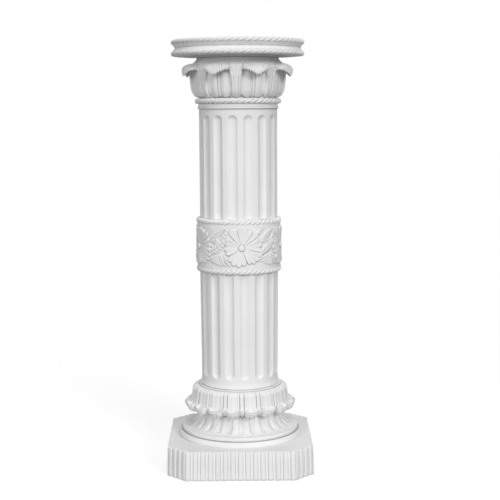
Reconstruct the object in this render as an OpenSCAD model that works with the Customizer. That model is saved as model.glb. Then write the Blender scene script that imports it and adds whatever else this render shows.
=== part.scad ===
// Decorative column pedestal in cast plaster. From the floor up: a ribbed plinth with cut
// corners and a fluted foot under a skirt of leaves, a fluted drum, a belt of flowers between
// two rope mouldings, a second fluted drum, a leaf capital and a round rope-edged slab.
// Millimetres, +Z up, the origin in the middle of the underside, the front towards -Y.

/* [Heights] */
// Height of the ribbed plinth
plinth_h = 68; // [45:1:110]
// Height of the foot, from the plinth to the lower drum
foot_h = 124; // [116:1:160]
// Height of the lower drum
lower_drum_h = 270.5; // [140:0.5:600]
// Height of the flower belt, both rope mouldings included
belt_h = 127.2; // [116:0.1:180]
// Height of the upper drum
upper_drum_h = 264; // [140:0.5:600]
// Height of the capital, from its rope moulding to the slab
capital_h = 109.3; // [100:0.1:150]
// Thickness of the top slab
slab_h = 37; // [30:1:60]

/* [Plinth] */
// Width across opposite flat sides, at the top edge
plinth_w = 336.8; // [290:0.1:440]
// Length that each cut corner takes off a side
corner_cut = 44.5; // [30:0.5:70]
// How far each side leans out from the top edge to the floor
plinth_draft = 2.2; // [0:0.1:6]
// Number of ribs on a side
side_ribs = 15; // [9:1:21]
// Number of ribs on a cut corner
corner_ribs = 4; // [2:1:6]
// Width of the groove between two ribs
rib_gap = 7; // [3:0.1:9]
// Depth of the groove between two ribs
rib_depth = 2.8; // [1:0.1:5]

/* [Foot] */
// Radius of the lower ring on the plinth
ring1_r = 146.3; // [141:0.1:160]
// Height of the lower ring
ring1_h = 13.5; // [8:0.5:16]
// Radius of the upper ring
ring2_r = 138.5; // [136:0.1:142]
// Height of the upper ring
ring2_h = 9.5; // [6:0.5:12]
// Radius of the hollow curve above the rings
scotia_r = 35; // [30:0.5:38]
// Number of flutes in the hollow curve
scotia_flutes = 26; // [12:1:30]
// Angle that the first of these flutes is turned from the front
scotia_turn = 1; // [-10:0.1:10]
// Radius of the gouge that cuts them
scotia_gouge_r = 7.5; // [5:0.1:9]
// Depth of these flutes
scotia_flute_depth = 3; // [1:0.1:4.5]
// How far the hollow curve starts inside the upper ring
scotia_setback = 3; // [2:0.1:5]
// Angle from the foot of the hollow curve to the middle of a flute's round end
scotia_flute_start = 36; // [26:1:44]

/* [Leaf skirt] */
// Number of leaves
skirt_leaves = 18; // [10:1:22]
// Angle that the first leaf is turned from the front
skirt_turn = -7.8; // [-18:0.1:18]
// Width of the flat rim between the drum and the leaves
skirt_rim = 4; // [2:0.5:8]
// Radius of the leaves at their shoulder
skirt_shoulder_r = 113.5; // [110:0.1:118]
// Radius of the leaves at the lip
skirt_lip_r = 131.7; // [126:0.1:140]
// How far the wall below the shoulder leans out
skirt_wall_lean = 3.5; // [0:0.1:6]
// How much less the sides of a leaf reach out than its middle
skirt_side_inset = 5; // [0:0.1:8]
// Drop from the drum to the shoulder
skirt_shoulder_drop = 14; // [8:0.5:18]
// Drop from the shoulder to where the leaves turn outwards
skirt_wall_drop = 23; // [15:0.5:28]
// Drop from there to the lip
skirt_flare_drop = 10; // [6:0.5:14]
// Depth of the rolled underside below the lip
skirt_roll = 11; // [6:0.5:14]
// Width of that underside
skirt_roll_w = 11.7; // [8:0.1:14]
// How far the leaves start below the rim
skirt_rim_step = 0.6; // [0.3:0.1:2]
// Depth of the channel between two leaves
skirt_gap_depth = 4.5; // [2:0.1:7]
// Depth of the two hollows in each leaf
skirt_rib_depth = 1.4; // [0:0.1:3]

/* [Drums] */
// Radius of the lower drum under the belt
drum_r = 92.5; // [76:0.1:94]
// How much smaller the lower drum is at its foot
drum_taper = 2; // [0:0.1:5]
// Radius of the flared foot and of the collar at the drums' outer ends
drum_end_r = 93.5; // [91:0.1:95]
// Radius of the upper drum
upper_drum_r = 91.3; // [80:0.1:94]
// Number of flutes on each drum
flutes = 16; // [8:1:20]
// Angle that the first flute of the lower drum is turned from the front
lower_turn = -14.9; // [-22:0.1:22]
// Angle that the first flute of the upper drum is turned from the front
upper_turn = -8.3; // [-22:0.1:22]
// Width of a flute, edge to edge
flute_w = 22.7; // [12:0.1:25]
// Depth of a flute
flute_depth = 5.2; // [2:0.1:8]
// Plain height below the flutes of the lower drum
flute_foot = 23; // [18:0.5:50]
// Plain height above the flutes of the upper drum
flute_head = 28; // [22:0.5:60]
// Height of the collar that ends the upper drum
collar_h = 11.7; // [8:0.1:18]
// Height of the wider ring that the collar starts with
collar_ring_h = 7.5; // [4:0.1:7.5]
// Height of the plain band at the foot of the lower drum
foot_band = 3; // [1:0.5:6]
// Height of the hollow flare above that band
foot_flare = 12; // [4:0.5:14]

/* [Belt] */
// Radius of the plain wall behind the flowers
belt_r = 98.6; // [97:0.1:100]
// Outer radius of the two rope mouldings
belt_rope_r = 100.6; // [99:0.1:104]
// Thickness of these ropes
belt_rope_d = 13.4; // [8:0.1:16]
// Number of flowers
flowers = 5; // [3:1:5]
// Angle that the first flower is turned from the front
flower_turn = 3.5; // [-30:0.5:30]
// Diameter of a flower
flower_d = 84; // [50:1:88]
// Diameter of the bead in its middle
flower_bead_d = 16; // [8:0.5:24]
// Height of the petals over the wall
petal_relief = 3.4; // [1:0.1:6]
// Height of the leaves over the wall
leaf_relief = 2.2; // [1:0.1:4]
// Length of these leaves, as a share of a flower
leaf_share = 0.46; // [0.3:0.01:0.5]

/* [Capital] */
// Outer radius of the rope moulding
capital_rope_r = 101; // [99:0.1:106]
// Thickness of this rope
capital_rope_d = 12.3; // [8:0.1:16]
// Number of leaves
capital_leaves = 8; // [6:1:10]
// Angle that the first leaf is turned from the front
capital_turn = 20.5; // [-45:0.5:45]
// Radius where the leaves stand on the rope
leaf_foot_r = 94.5; // [92:0.1:98]
// Radius of the straps between the leaves, above their foot
strap_r = 108.8; // [104:0.1:112]
// How much further the straps lean out at the top
strap_lean = 3.2; // [0:0.1:6]
// Height of the rounded foot of the leaves
leaf_tuck = 17; // [10:0.5:22]
// Height of the plain step between the rope and that foot
leaf_step = 2.5; // [1:0.5:5]
// Width of a strap between two leaves
strap_w = 19; // [12:0.5:24]
// Depth of the niche under each leaf tip
niche_depth = 6.5; // [3:0.1:9]
// Reach of the rolled leaf tips, from the axis
leaf_tip_r = 132; // [122:0.5:142]
// Height of the rolled leaf tips
leaf_roll_h = 29; // [22:0.5:34]
// Thickness of the rolled leaf tips
leaf_tip_t = 3.5; // [2:0.1:5]
// How much less the sides of a leaf tip reach out than its middle
leaf_side_inset = 3; // [0:0.1:8]
// Angle below the horizontal at which the roll ends, in the middle of a leaf
leaf_droop = 31; // [15:1:40]
// How much less it is at the sides
leaf_side_lift = 18; // [0:1:30]
// Radius of the bell above the leaves
bell_r = 103; // [100:0.1:106]
// Height of the bell's sloping shoulder
bell_h = 10; // [6:0.5:14]
// Radius of the narrow neck above the bell
neck_r = 94.5; // [88:0.1:96]
// Radius of the small ring under the slab
neck_ring_r = 97.3; // [96:0.1:102]
// Height of the neck, from the bell to the slab
neck_h = 6; // [4:0.5:10]

/* [Top slab] */
// Outer radius of the slab, at both ropes
slab_r = 154.9; // [130:0.1:200]
// Thickness of the two ropes
slab_rope_d = 11.2; // [6:0.1:12]
// Depth of the groove between the ropes
slab_groove = 10; // [4:0.1:14]

/* [Hidden] */
$fn = 96;
PLASTER = "whitesmoke";

z_foot = plinth_h;
z_lower_drum = z_foot + foot_h;
z_belt = z_lower_drum + lower_drum_h;
z_upper_drum = z_belt + belt_h;
z_capital = z_upper_drum + upper_drum_h;
z_slab = z_capital + capital_h;

// Overlap of shapes that are joined into one piece
weld = 1;
front = -90;

// A value between a and b, at share t of the way
function mix(a, b, t) = a + (b - a) * t;
// A smooth step from 0 at a to 1 at b
function smooth(a, b, x) = let (t = min(max((x - a) / (b - a), 0), 1)) t * t * (3 - 2 * t);
// Radius of the round gouge that cuts a flute w wide and d deep
function gouge(w, d) = (w * w / 4 + d * d) / (2 * d);

// A closed solid about the axis, from rows of points that run round it, lowest row last.
// The first and the last row are flat.
module ring_solid(rows) {
    n = len(rows[0]);
    last = len(rows) - 1;
    points = concat([for (row = rows) each row],
                    [[0, 0, rows[0][0][2]], [0, 0, rows[last][0][2]]]);
    top = len(points) - 2;
    bottom = len(points) - 1;
    sides = [for (i = [0 : last - 1], j = [0 : n - 1])
        let (k = (j + 1) % n, a = i * n + j, b = i * n + k, c = a + n, d = b + n)
        each [[a, b, d], [a, d, c]]];
    caps = [for (j = [0 : n - 1]) let (k = (j + 1) % n)
        each [[top, k, j], [bottom, last * n + j, last * n + k]]];
    polyhedron(points, concat(sides, caps));
}

// A ring of round section: outer radius r, thickness d, its middle at height z
module rope_ring(r, d, z) {
    translate([0, 0, z]) rotate_extrude() translate([r - d / 2, 0]) circle(d = d);
}

// ---------------------------------------------------------------- base

// Points of one ribbed side, from its left end to its right one, seen from outside.
// The side starts and ends with half a groove when notched is 1.
function ribbed_side(length, ribs, notched) =
    let (grooves = ribs - 1 + notched, rib = (length - grooves * rib_gap) / ribs,
         step = rib + rib_gap, start = -length / 2 + notched * rib_gap / 2)
    [for (i = [0 : ribs - 1]) let (x = start + i * step)
        each [if (i > 0 || notched == 1) [x, -rib_depth], [x, 0], [x + rib, 0],
              if (i < ribs - 1 || notched == 1) [x + rib, -rib_depth]]];

// Outline of the plinth: sides and cut corners in turn
plinth_outline = let (side = plinth_w - 2 * corner_cut, cut = corner_cut * sqrt(2),
                      cut_distance = (plinth_w - corner_cut) / sqrt(2))
    [for (k = [0 : 7])
        let (corner = k % 2, a = k * 45 + front,
             distance = corner == 1 ? cut_distance : plinth_w / 2,
             marks = corner == 1 ? ribbed_side(cut, corner_ribs, 1) : ribbed_side(side, side_ribs, 0))
        for (m = marks)
            [(distance + m[1]) * cos(a) - m[0] * sin(a), (distance + m[1]) * sin(a) + m[0] * cos(a)]];

module plinth() {
    top_share = plinth_w / (plinth_w + 2 * plinth_draft);
    linear_extrude(height = plinth_h, scale = top_share) scale(1 / top_share)
        polygon(plinth_outline);
}

// Height and radius of the centre of the hollow curve
z_scotia = z_foot + ring1_h + ring2_h + scotia_r;
scotia_centre = ring2_r - scotia_setback;
foot_neck_r = scotia_centre - scotia_r;

// The two rings and the hollow curve, up to the flat that carries the lower drum
module foot_core() {
    rotate_extrude() difference() {
        union() {
            translate([0, z_foot - weld]) square([ring1_r - ring1_h / 2, ring1_h + weld]);
            translate([ring1_r - ring1_h / 2, z_foot + ring1_h / 2]) circle(d = ring1_h);
            translate([0, z_foot + ring1_h]) square([ring2_r - ring2_h / 2, ring2_h]);
            translate([ring2_r - ring2_h / 2, z_foot + ring1_h + ring2_h / 2]) circle(d = ring2_h);
            translate([0, z_foot + ring1_h + ring2_h - weld]) square([scotia_centre, scotia_r + weld]);
            square([foot_neck_r, z_lower_drum - skirt_shoulder_drop]);
            square([drum_end_r + skirt_rim, z_lower_drum]);
        }
        translate([scotia_centre, z_scotia]) circle(r = scotia_r);
        translate([-2 * ring1_r, -ring1_r]) square([2 * ring1_r, 2 * z_lower_drum]);
        translate([0, -plinth_h]) square([2 * ring1_r, 2 * z_foot - weld]);
    }
}

// One flute of the hollow curve: the gouge swings about the curve's own centre
module scotia_flute() {
    lead = scotia_r + scotia_flute_depth - scotia_gouge_r;
    sweep = 93 - scotia_flute_start;
    translate([scotia_centre, 0, z_scotia]) rotate([90, 0, 0]) rotate([0, 0, -90 - scotia_flute_start]) {
        rotate([0, 0, -sweep]) rotate_extrude(angle = sweep) translate([lead, 0]) circle(r = scotia_gouge_r);
        translate([lead, 0, 0]) sphere(r = scotia_gouge_r);
    }
}

// Columns of one skirt leaf: share of its half width, and depth of the surface there
skirt_columns = [[-1, skirt_gap_depth], [-0.82, 0], [-0.55, 0], [-0.27, skirt_rib_depth],
                 [0, 0], [0.27, skirt_rib_depth], [0.55, 0], [0.82, 0]];

// Share of the underside's depth that is lost at the sides of a leaf
skirt_side_lift = 0.35;

// Profile of the skirt at one column, from the rim down to the underside: u is the share of
// the leaf's half width and depth how far the surface lies back
function skirt_profile(u, depth) =
    let (rim_r = drum_end_r + skirt_rim - weld, z_rim = z_lower_drum - skirt_rim_step,
         shoulder_r = skirt_shoulder_r - depth, z_shoulder = z_lower_drum - skirt_shoulder_drop,
         wall_r = skirt_shoulder_r + skirt_wall_lean - depth, z_wall = z_shoulder - skirt_wall_drop,
         lip_r = skirt_lip_r - 2 * depth - skirt_side_inset * u * u, z_lip = z_wall - skirt_flare_drop,
         roll_r = lip_r - skirt_roll_w, roll = skirt_roll * (1 - skirt_side_lift * u * u))
    [for (a = [90 : -30 : 0]) [mix(rim_r, shoulder_r, cos(a)), mix(z_shoulder, z_rim, sin(a))],
     for (a = [0 : 30 : 90]) [mix(lip_r, wall_r, cos(a)), mix(z_wall, z_lip, sin(a))],
     for (a = [40, 70, 90]) [mix(roll_r, lip_r, cos(a)), z_lip - roll * sin(a)],
     [foot_neck_r - weld, z_lip - skirt_roll * (1 - skirt_side_lift)]];

module leaf_skirt() {
    pitch = 360 / skirt_leaves;
    columns = [for (leaf = [0 : skirt_leaves - 1], c = skirt_columns)
        [front + skirt_turn + (leaf + c[0] / 2) * pitch, skirt_profile(c[0], c[1])]];
    ring_solid([for (i = [0 : len(columns[0][1]) - 1])
        [for (c = columns) [c[1][i][0] * cos(c[0]), c[1][i][0] * sin(c[0]), c[1][i][1]]]]);
}

module base() {
    color(PLASTER) union() {
        plinth();
        difference() {
            foot_core();
            for (i = [0 : scotia_flutes - 1])
                rotate([0, 0, front + scotia_turn + i * 360 / scotia_flutes]) scotia_flute();
        }
        leaf_skirt();
    }
}

// ---------------------------------------------------------------- drums

flute_r = gouge(flute_w, flute_depth);

// The cutters of one ring of flutes: radius r of the drum, from z0 to z1, with the gouge's
// round end at the bottom or at the top
module flute_ring(r, z0, z1, turn, round_bottom) {
    for (i = [0 : flutes - 1])
        rotate([0, 0, front + turn + i * 360 / flutes])
            translate([r - flute_depth + flute_r, 0, 0]) {
                translate([0, 0, z0]) cylinder(r = flute_r, h = z1 - z0);
                translate([0, 0, round_bottom ? z0 : z1]) sphere(r = flute_r);
            }
}

module lower_drum() {
    foot_r = drum_r - drum_taper;
    profile = [[0, 0], [drum_end_r, 0], [drum_end_r, foot_band],
               for (a = [0 : 15 : 90])
                   [mix(foot_r, drum_end_r, 1 - sin(a)), foot_band + foot_flare * (1 - cos(a))],
               [drum_r, lower_drum_h], [0, lower_drum_h]];
    color(PLASTER) difference() {
        translate([0, 0, z_lower_drum]) rotate_extrude() polygon(profile);
        flute_ring(foot_r, z_lower_drum + flute_foot + flute_w / 2, z_belt + flute_w,
                   lower_turn, true);
    }
}

module upper_drum() {
    z_collar = z_capital - collar_h;
    ring_proud = 0.8;
    rest_back = 1;
    color(PLASTER) difference() {
        union() {
            translate([0, 0, z_upper_drum]) cylinder(r = upper_drum_r, h = upper_drum_h);
            translate([0, 0, z_collar]) cylinder(r = drum_end_r + ring_proud, h = collar_ring_h);
            translate([0, 0, z_collar]) cylinder(r = drum_end_r - rest_back, h = collar_h);
        }
        flute_ring(upper_drum_r, z_upper_drum - flute_w, z_capital - flute_head - flute_w / 2,
                   upper_turn, false);
    }
}

// ---------------------------------------------------------------- belt

// A pointed leaf, length long and wide wide, flat, with its stalk at the origin, along +X
module leaf_blade(length, wide) {
    fullness = 0.8;
    edge = [for (t = [0 : 0.125 : 1]) [length * t, wide / 2 * pow(sin(180 * t), fullness)]];
    back = [for (i = [len(edge) - 2 : -1 : 1]) [edge[i][0], -edge[i][1]]];
    polygon(concat(edge, back));
}

// The outline of one flower: round petals about a disc
module flower_outline() {
    petals = 5;
    petal_d = flower_d * 0.4;
    circle(d = flower_d / 2);
    for (i = [0 : petals - 1])
        rotate(90 + i * 360 / petals) translate([(flower_d - petal_d) / 2, 0]) circle(d = petal_d);
}

// The outlines of the four leaves that fill the space between two flowers
module leaf_outlines() {
    blade = flower_d * leaf_share;
    stalk = 2;
    slenderness = 0.36;
    for (a = [50, 130, 230, 310]) rotate(a) translate([stalk, 0]) leaf_blade(blade, blade * slenderness);
}

// Flat outlines stood up against the belt's wall, cut off at height relief over it
module raised(relief, z) {
    intersection() {
        translate([0, 0, z]) rotate([90, 0, 90]) linear_extrude(height = 2 * belt_r) children();
        translate([0, 0, z_belt]) cylinder(r = belt_r + relief, h = belt_h);
    }
}

module belt() {
    z_mid = z_belt + belt_h / 2;
    bead_r = flower_bead_d / 2;
    color(PLASTER) union() {
        translate([0, 0, z_belt + belt_rope_d / 2]) cylinder(r = belt_r, h = belt_h - belt_rope_d);
        translate([0, 0, z_belt]) cylinder(r = belt_rope_r - belt_rope_d / 2, h = belt_h);
        for (z = [z_belt + belt_rope_d / 2, z_upper_drum - belt_rope_d / 2])
            rope_ring(belt_rope_r, belt_rope_d, z);
        for (i = [0 : flowers - 1])
            rotate([0, 0, front + flower_turn + i * 360 / flowers]) {
                raised(petal_relief, z_mid) flower_outline();
                rotate([0, 0, 180 / flowers]) raised(leaf_relief, z_mid) leaf_outlines();
                translate([belt_r + petal_relief - bead_r / 2, 0, z_mid]) sphere(r = bead_r);
            }
    }
}

// ---------------------------------------------------------------- capital

z_leaf_foot = z_capital + capital_rope_d + leaf_step;
z_bell = z_slab - neck_h - bell_h;

// Radius of the straps at height z
function strap_wall(z) = let (h = z - z_leaf_foot)
    h < leaf_tuck ? mix(leaf_foot_r, strap_r, sqrt(max(1 - pow(1 - h / leaf_tuck, 2), 0)))
                  : strap_r + strap_lean * (h - leaf_tuck) / (z_bell - z_leaf_foot - leaf_tuck);

// The roll's upper half is nose high. It starts back_step outside the bell.
nose = leaf_roll_h / (1 + sin(leaf_droop));
back_step = 5;
// Top of the niche below the bell, how far it falls to the sides, and its depth left at the foot
arch_drop = 11;
arch_fall = 14;
niche_foot_share = 0.4;
// Where a strap begins beside a leaf, as shares of the leaf's half width
strap_start = 0.68;
niche_edge = 0.9;
strap_edge = 1.02;

// Profile at one column of a capital leaf, from the bell down to the foot. u is the share of
// the leaf's half width, roll is 1 in the middle of a leaf and 0 on a strap, and niche is 1
// where the wall is hollowed
function capital_profile(u, roll, niche) =
    let (reach = mix(strap_r + strap_lean, leaf_tip_r - leaf_side_inset * u * u, roll),
         back_r = bell_r + back_step, z_nose = z_bell + weld - nose,
         tip = -leaf_droop + leaf_side_lift * u * u,
         tip_r = back_r + (reach - back_r) * cos(tip), z_tip = z_nose + nose * sin(tip),
         z_niche = z_bell - arch_drop - arch_fall * pow(u, 4),
         z_arch = mix(z_tip - arch_fall, z_niche, roll), arch_r = mix(reach, bell_r + back_step + weld, roll))
    [[bell_r - 2 * weld, z_bell + weld],
     for (i = [0 : 5]) let (a = mix(90, tip, i / 5))
         [back_r + (reach - back_r) * cos(a), z_nose + nose * sin(a)],
     for (i = [0 : 3]) let (t = i / 3)
         [mix(reach - 0.2 * i, mix(tip_r - leaf_tip_t, arch_r, t * t), roll),
          mix(z_tip - weld - 3 * i, mix(z_tip, z_arch + 2 * weld, sqrt(t)), roll)],
     for (t = [0, 0.4, 0.65, 0.8, 0.9, 1]) let (z = mix(z_arch, z_leaf_foot, t))
         [strap_wall(z) - niche * niche_depth * mix(1, niche_foot_share, t * t), z]];

module capital_leaf_ring() {
    half = 180 / capital_leaves;
    edge = half - asin(strap_w / 2 / strap_r);
    inner = [0.33, 0.6, 0.76, niche_edge];
    shares = concat([-half / edge, -strap_edge], [for (i = [3 : -1 : 0]) -inner[i]], [0], inner,
                    [strap_edge]);
    columns = [for (leaf = [0 : capital_leaves - 1], u = shares)
        [front + capital_turn + leaf * 2 * half + u * edge,
         capital_profile(min(abs(u), 1), 1 - smooth(strap_start, strap_edge, abs(u)),
                         1 - smooth(niche_edge, strap_edge, abs(u)))]];
    ring_solid([for (i = [0 : len(columns[0][1]) - 1])
        [for (c = columns) [c[1][i][0] * cos(c[0]), c[1][i][0] * sin(c[0]), c[1][i][1]]]]);
}

module capital() {
    rope_mid_r = capital_rope_r - capital_rope_d / 2;
    color(PLASTER) union() {
        translate([0, 0, z_capital]) cylinder(r = rope_mid_r, h = z_leaf_foot - z_capital + weld);
        rope_ring(capital_rope_r, capital_rope_d, z_capital + capital_rope_d / 2);
        capital_leaf_ring();
        translate([0, 0, z_bell - weld]) cylinder(r = bell_r, h = weld);
        translate([0, 0, z_bell]) cylinder(r1 = bell_r, r2 = neck_r, h = bell_h);
        translate([0, 0, z_slab - neck_h]) cylinder(r1 = neck_r, r2 = neck_ring_r, h = neck_h / 2);
        translate([0, 0, z_slab - neck_h / 2]) cylinder(r = neck_ring_r, h = neck_h / 2);
    }
}

// ---------------------------------------------------------------- top slab

module top_slab() {
    rope_mid_r = slab_r - slab_rope_d / 2;
    groove_r = slab_r - slab_groove;
    lip = slab_rope_d * 0.9;
    color(PLASTER) union() {
        translate([0, 0, z_slab]) rotate_extrude()
            polygon([[0, 0], [rope_mid_r, 0], [rope_mid_r, lip], [groove_r, slab_h / 2],
                     [rope_mid_r, slab_h - lip], [rope_mid_r, slab_h], [0, slab_h]]);
        for (z = [z_slab + slab_rope_d / 2, z_slab + slab_h - slab_rope_d / 2])
            rope_ring(slab_r, slab_rope_d, z);
    }
}

base();
lower_drum();
belt();
upper_drum();
capital();
top_slab();
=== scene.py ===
"""Decorative plaster column pedestal: the finished surfaces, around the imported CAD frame.

Shapes are worked out in millimetres and degrees. An angle is measured round the axis from the
front (-Y), and grows to the right (+X). Each carved piece is a grid of rows and columns: the
rows run from the top down and the columns run round the axis.
"""
import math
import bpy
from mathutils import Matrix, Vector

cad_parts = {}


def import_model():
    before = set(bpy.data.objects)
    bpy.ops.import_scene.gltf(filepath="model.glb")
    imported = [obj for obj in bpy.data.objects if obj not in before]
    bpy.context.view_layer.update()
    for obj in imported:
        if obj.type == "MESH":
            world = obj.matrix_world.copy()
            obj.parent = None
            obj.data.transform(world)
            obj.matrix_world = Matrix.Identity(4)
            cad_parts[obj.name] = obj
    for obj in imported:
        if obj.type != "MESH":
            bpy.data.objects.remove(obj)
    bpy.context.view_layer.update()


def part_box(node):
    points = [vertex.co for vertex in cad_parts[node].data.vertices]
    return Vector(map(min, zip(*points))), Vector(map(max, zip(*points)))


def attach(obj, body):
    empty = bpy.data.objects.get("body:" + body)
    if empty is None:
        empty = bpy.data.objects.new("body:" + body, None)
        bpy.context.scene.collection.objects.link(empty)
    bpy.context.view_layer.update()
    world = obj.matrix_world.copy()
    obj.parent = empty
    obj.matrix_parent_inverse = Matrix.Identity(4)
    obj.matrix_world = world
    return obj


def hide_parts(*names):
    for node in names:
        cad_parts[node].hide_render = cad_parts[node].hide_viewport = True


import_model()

from types import SimpleNamespace

import bpy
import numpy as np
from mathutils import Matrix, Vector

MM = 0.001
BODY = "root"


# ------------------------------------------------------------------ small helpers

def mix(a, b, t):
    return a + (b - a) * t


def smooth(a, b, x):
    """A smooth step from 0 at a to 1 at b."""
    t = np.clip((x - a) / (b - a), 0.0, 1.0)
    return t * t * (3.0 - 2.0 * t)


def hump(x, centre, half):
    """A rounded hump: 1 at the centre, 0 from half away on."""
    return np.sqrt(np.clip(1.0 - ((x - centre) / half) ** 2, 0.0, 1.0))


def groove(x, centre, half):
    """A soft valley: 1 at the centre, 0 from half away on."""
    return smooth(half, 0.0, np.abs(x - centre))


def scallop(phase):
    """Rounded lobes with sharp notches between them: 0 at whole numbers, 1 halfway."""
    return np.abs(np.sin(np.pi * phase))


def gouge_cut(reach, width, depth):
    """How deep a round gouge cuts, reach away from the middle of a groove of that width."""
    radius = (width * width / 4 + depth * depth) / (2 * depth)
    cut = np.sqrt(np.clip(radius ** 2 - reach ** 2, 0, None)) - (radius - depth)
    return np.clip(cut, 0, None)


def node_z(node):
    """Lowest and highest point of a CAD node, in mm."""
    low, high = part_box(node)
    return low.z / MM, high.z / MM


def column_angles(turn, count):
    """Angles of the columns, evenly round the axis, half a step on from turn."""
    return turn + (np.arange(count) + 0.5) * 360.0 / count


def nearest(angle, first, pitch):
    """Angle measured from the nearest of a ring of features."""
    return (angle - first + pitch / 2) % pitch - pitch / 2


def turned(angle, radius, height):
    """Points at an angle round the axis."""
    a = np.radians(angle)
    return np.stack([radius * np.sin(a), -radius * np.cos(a), height], -1)


class Rows:
    """The rows of a carved piece, collected from the top down, over one set of column angles.
    Heights are measured from z_from."""

    def __init__(self, angle, z_from=0.0):
        self.angle = angle
        self.z_from = z_from
        self.radius = []
        self.height = []

    def add(self, radius, height):
        self.radius.append(np.broadcast_to(radius, self.angle.shape))
        self.height.append(np.broadcast_to(height, self.angle.shape))

    def grid(self):
        return turned(self.angle, np.stack(self.radius), self.z_from + np.stack(self.height))


# ------------------------------------------------------------------ meshes

def add_mesh(name, points, quads, triangles, sharp_deg):
    """A smooth mesh object from points in mm, with edges sharper than sharp_deg kept crisp."""
    mesh = bpy.data.meshes.new(name)
    mesh.vertices.add(len(points))
    mesh.vertices.foreach_set("co", (points * MM).astype(np.float32).ravel())
    corners = np.concatenate([quads.ravel(), triangles.ravel()]).astype(np.int32)
    sizes = np.concatenate([np.full(len(quads), 4), np.full(len(triangles), 3)])
    starts = np.concatenate([[0], np.cumsum(sizes)[:-1]]).astype(np.int32)
    mesh.loops.add(len(corners))
    mesh.loops.foreach_set("vertex_index", corners)
    mesh.polygons.add(len(sizes))
    mesh.polygons.foreach_set("loop_start", starts)
    mesh.update(calc_edges=True)
    mesh.validate()
    mesh.shade_smooth()
    mesh.set_sharp_from_angle(angle=math.radians(sharp_deg))
    piece = bpy.data.objects.new(name, mesh)
    bpy.context.scene.collection.objects.link(piece)
    return piece


def grid_quads(rows, columns):
    """Corners of the faces between neighbouring rows, all the way round."""
    i, j = np.meshgrid(np.arange(rows - 1), np.arange(columns), indexing="ij")
    k = (j + 1) % columns
    upper, lower = i * columns, (i + 1) * columns
    return np.stack([upper + j, lower + j, lower + k, upper + k], -1).reshape(-1, 4)


def capped_solid(name, grid, sharp_deg=38.0):
    """A closed solid from a grid of rows, top row first, with a flat cap at each end."""
    rows, columns, _ = grid.shape
    ends = [[0, 0, grid[0, 0, 2]], [0, 0, grid[-1, 0, 2]]]
    points = np.concatenate([grid.reshape(-1, 3), ends])
    top = rows * columns
    j = np.arange(columns)
    k = (j + 1) % columns
    last = (rows - 1) * columns
    caps = np.concatenate([
        np.stack([np.full(columns, top), j, k], -1),
        np.stack([np.full(columns, top + 1), last + k, last + j], -1)])
    return add_mesh(name, points, grid_quads(rows, columns), caps, sharp_deg)


def closed_ring(name, grid, shift, sharp_deg):
    """A ring whose last row joins its first one, shift columns further on."""
    rows, columns, _ = grid.shape
    j = np.arange(columns)
    first = (j + shift) % columns
    last = (rows - 1) * columns
    seam = np.stack([last + j, first, (first + 1) % columns, last + (j + 1) % columns], -1)
    quads = np.concatenate([grid_quads(rows, columns), seam])
    return add_mesh(name, grid.reshape(-1, 3), quads, np.empty((0, 3), int), sharp_deg)


def finish_piece(piece, node):
    """Gives a piece its plaster, parents it to the body and hides the CAD node that it replaces."""
    piece.data.materials.append(PLASTER)
    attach(piece, BODY)
    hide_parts(node)


# ------------------------------------------------------------------ plaster

CLOUD_TONES = [(0.30, (0.800, 0.802, 0.803)), (0.72, (0.850, 0.851, 0.850))]
# Painted shade: this ramp on Pointiness darkens the deepest creases and recesses in the base colour.
CREASE_SHADE_TONES = [(0.435, (0.46, 0.46, 0.465)), (0.496, (1.0, 1.0, 1.0))]


def plaster_material():
    """Matt white cast plaster: faint clouds, fine pores, and painted shade that darkens the deepest
    creases.
    """
    material = bpy.data.materials.new("plaster")
    material.use_nodes = True
    nodes = material.node_tree.nodes
    links = material.node_tree.links
    shader = nodes["Principled BSDF"]
    shader.inputs["Roughness"].default_value = 0.82
    shader.inputs["Specular IOR Level"].default_value = 0.25
    place = nodes.new("ShaderNodeTexCoord")

    def noise(scale, detail, roughness):
        node = nodes.new("ShaderNodeTexNoise")
        node.inputs["Scale"].default_value = scale
        node.inputs["Detail"].default_value = detail
        node.inputs["Roughness"].default_value = roughness
        links.new(place.outputs["Object"], node.inputs["Vector"])
        return node.outputs["Fac"]

    def ramp(source, stops):
        node = nodes.new("ShaderNodeValToRGB")
        for element, (position, colour) in zip(node.color_ramp.elements, stops):
            element.position = position
            element.color = (*colour, 1.0)
        links.new(source, node.inputs["Fac"])
        return node.outputs["Color"]

    geometry = nodes.new("ShaderNodeNewGeometry")
    # Painted shade: the base colour is multiplied by the crease ramp, so creases come out darker.
    painted_crease_shade = nodes.new("ShaderNodeMix")
    painted_crease_shade.data_type = "RGBA"
    painted_crease_shade.blend_type = "MULTIPLY"
    painted_crease_shade.inputs["Factor"].default_value = 1.0
    links.new(ramp(noise(9.0, 3.0, 0.55), CLOUD_TONES), painted_crease_shade.inputs["A"])
    links.new(ramp(geometry.outputs["Pointiness"], CREASE_SHADE_TONES), painted_crease_shade.inputs["B"])
    links.new(painted_crease_shade.outputs["Result"], shader.inputs["Base Color"])

    pore_share = 0.25
    height = nodes.new("ShaderNodeMath")
    height.operation = "MULTIPLY_ADD"
    links.new(noise(900.0, 4.0, 0.6), height.inputs[0])
    height.inputs[1].default_value = pore_share
    links.new(noise(60.0, 3.0, 0.5), height.inputs[2])
    bump = nodes.new("ShaderNodeBump")
    bump.inputs["Strength"].default_value = 0.16
    bump.inputs["Distance"].default_value = 0.0012
    links.new(height.outputs["Value"], bump.inputs["Height"])
    links.new(bump.outputs["Normal"], shader.inputs["Normal"])
    return material


PLASTER = plaster_material()


# ------------------------------------------------------------------ rope mouldings

ROPE_TURN = 3          # strands that pass while going once round the rope's section
STRAND_FULLNESS = 0.85


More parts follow.
